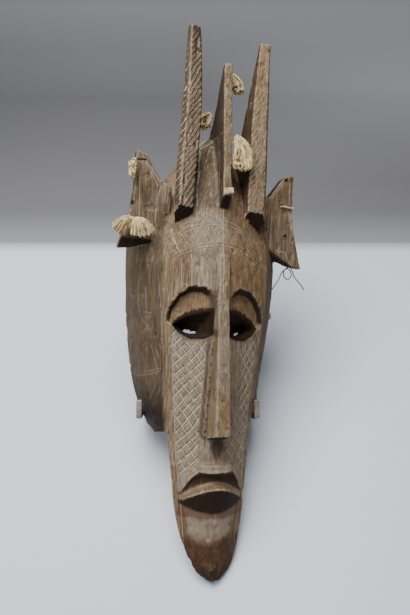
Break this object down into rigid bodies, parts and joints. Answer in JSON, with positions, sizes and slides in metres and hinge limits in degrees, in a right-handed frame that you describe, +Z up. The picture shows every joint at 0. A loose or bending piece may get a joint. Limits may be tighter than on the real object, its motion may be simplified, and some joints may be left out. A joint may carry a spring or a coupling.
{
  "type": "carved gazelle mask",
  "caption": "Long hollow carved wooden mask with fin horns, pointed ears and yarn tassels, leaning in a small steel cradle.",
  "frame": {"origin": "on the floor, under the middle of the bounding box", "axes": "+Z up, the mask's face looks towards -Y and up, its chin points to -Y, and its horns rise towards +Y"},
  "size_m": [0.2146, 0.4406, 0.3857],
  "materials": {
    "wood": "old dry carved wood, worn and dusty",
    "yarn": "cream cotton yarn",
    "iron": "thin dark annealed iron wire",
    "steel": "dull worn steel"
  },
  "bodies": {
    "root": {"mask": "wood", "tassel_ear_upper": "yarn", "tassel_ear_lower": "yarn", "tassel_horns_left": "yarn", "tassel_horns_right": "yarn", "tassel_horn_front": "yarn", "horn_cord": "yarn", "ear_cord": "yarn", "wire_tie": "iron", "stand": "steel"}
  },
  "joints": []
}
